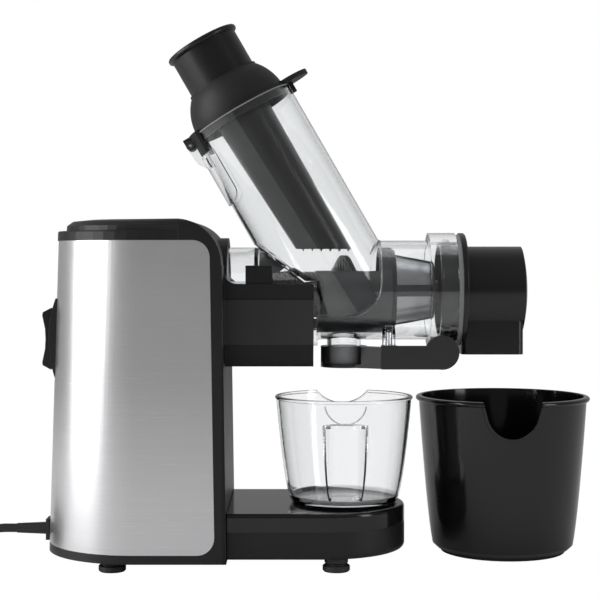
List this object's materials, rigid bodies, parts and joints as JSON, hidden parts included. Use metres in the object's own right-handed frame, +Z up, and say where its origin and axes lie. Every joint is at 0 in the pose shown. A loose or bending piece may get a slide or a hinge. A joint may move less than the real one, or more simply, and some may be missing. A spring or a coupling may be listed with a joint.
{
  "type": "cold press juicer",
  "caption": "Countertop slow juicer: steel motor tower, leaning clear chute with pusher and domed lid, screw in a screen, drip lever, outlet cap, clear cup and pulp bin.",
  "frame": {"origin": "centre of the box round the machine, cup and bin, on the surface that they stand on", "axes": "+X from the motor tower to the outlet cap, +Y to the far side, +Z up"},
  "size_m": [0.6135, 0.2149, 0.4267],
  "materials": {
    "satin_black": "satin",
    "gloss_black": "polished",
    "lid_black": "fine satin grain",
    "pusher_black": "satin",
    "steel": "brushed lengthwise",
    "foot_rubber": "matt",
    "fastener": "zinc plated",
    "zinc": "as cast",
    "winding": "enamelled copper",
    "inner_black": "plain",
    "gear_steel": "machined",
    "gear_plastic": "plain",
    "seal_rubber": "matt",
    "board_green": "solder mask",
    "cord_black": "satin",
    "clear": "polished clear plastic",
    "clear_cup": "polished clear plastic",
    "inner_grey": "satin",
    "mesh_steel": "etched",
    "silicone": "soft matt"
  },
  "bodies": {
    "root": {"front_frame": "satin_black", "steel_wrap": "steel", "top_cap": "satin_black", "base_pan": "satin_black", "platform_cover": "gloss_black", "feet": "foot_rubber", "base_screws": "fastener", "motor_can": "zinc", "motor_stator": "winding", "motor_cradle": "inner_black", "gearbox_back": "zinc", "gearbox_cover": "zinc", "idler_pin": "fastener", "output_bearing": "gear_steel", "shaft_seal": "seal_rubber", "control_board": "board_green", "switch_bezel": "satin_black", "cord_grommet": "cord_black", "power_cord": "cord_black", "cord_coil": "cord_black", "plug": "cord_black", "button_spring": "fastener"},
    "motor_shaft": {"motor_rotor": "gear_steel"},
    "idler": {"idler_gear": "gear_plastic"},
    "drive_shaft": {"output_gear": "gear_steel"},
    "switch_rocker": {"rocker": "gloss_black"},
    "bowl_release": {"release_button": "satin_black"},
    "juicing_bowl": {"bowl": "clear", "bowl_seal": "seal_rubber", "screen_frame": "inner_grey", "screen_mesh": "mesh_steel", "auger_bush": "gear_plastic", "lever_pin": "fastener", "lid": "lid_black", "lid_gasket": "silicone", "lid_pin": "fastener"},
    "screw": {"auger": "inner_grey"},
    "food_pusher": {"pusher": "pusher_black"},
    "outlet_cap": {"end_cap": "gloss_black", "cap_gasket": "silicone"},
    "spout_lever": {"drip_lever": "gloss_black", "drip_stopper": "silicone"},
    "cup": {"juice_cup": "clear_cup"},
    "pulp_bin": {"pulp_container": "gloss_black"}
  },
  "joints": [
    {"name": "auger_spin", "type": "hinge", "parent": "juicing_bowl", "child": "screw", "pos_m": [0.01831, -0.0165, 0.2144], "axis": [1, 0, 0], "continuous": true},
    {"name": "drive_spin", "type": "hinge", "parent": "root", "child": "drive_shaft", "pos_m": [-0.10669, -0.0165, 0.2144], "axis": [1, 0, 0], "continuous": true},
    {"name": "idler_spin", "type": "hinge", "parent": "root", "child": "idler", "pos_m": [-0.10669, -0.0165, 0.1724], "axis": [1, 0, 0], "continuous": true},
    {"name": "rotor_spin", "type": "hinge", "parent": "root", "child": "motor_shaft", "pos_m": [-0.15669, -0.0165, 0.1444], "axis": [1, 0, 0], "continuous": true},
    {"name": "rocker_tilt", "type": "hinge", "parent": "root", "child": "switch_rocker", "pos_m": [-0.20711, -0.0165, 0.176], "axis": [0, 1, 0], "range_deg": [-8, 8]},
    {"name": "release_press", "type": "slide", "parent": "root", "child": "bowl_release", "axis": [0, 0, -1], "range_m": [0, 0.004], "stiffness_N_per_m": 300, "springref_m": -0.002, "deforming": ["button_spring"]},
    {"name": "bowl_pull", "type": "slide", "parent": "root", "child": "juicing_bowl", "axis": [1, 0, 0], "range_m": [0, 0.07]},
    {"name": "pusher_slide", "type": "slide", "parent": "juicing_bowl", "child": "food_pusher", "axis": [-0.5, 0, 0.866], "range_m": [0, 0.18]},
    {"name": "cap_turn", "type": "hinge", "parent": "juicing_bowl", "child": "outlet_cap", "pos_m": [0.10731, -0.0165, 0.2144], "axis": [1, 0, 0], "range_deg": [0, 30]},
    {"name": "lever_swing", "type": "hinge", "parent": "juicing_bowl", "child": "spout_lever", "pos_m": [0.05291, -0.0405, 0.16], "axis": [0, 0, 1], "range_deg": [-45, 0]},
    {"name": "cup_slide", "type": "slide", "parent": "root", "child": "cup", "axis": [0, -1, 0], "range_m": [0, 0.12]},
    {"name": "bin_slide", "type": "slide", "parent": "root", "child": "pulp_bin", "axis": [1, 0, 0], "range_m": [0, 0.12]}
  ],
  "couplings": [
    {"joint": "drive_spin", "follows": "auger_spin", "ratio": 1},
    {"joint": "idler_spin", "follows": "auger_spin", "ratio": -3},
    {"joint": "rotor_spin", "follows": "auger_spin", "ratio": 9}
  ]
}
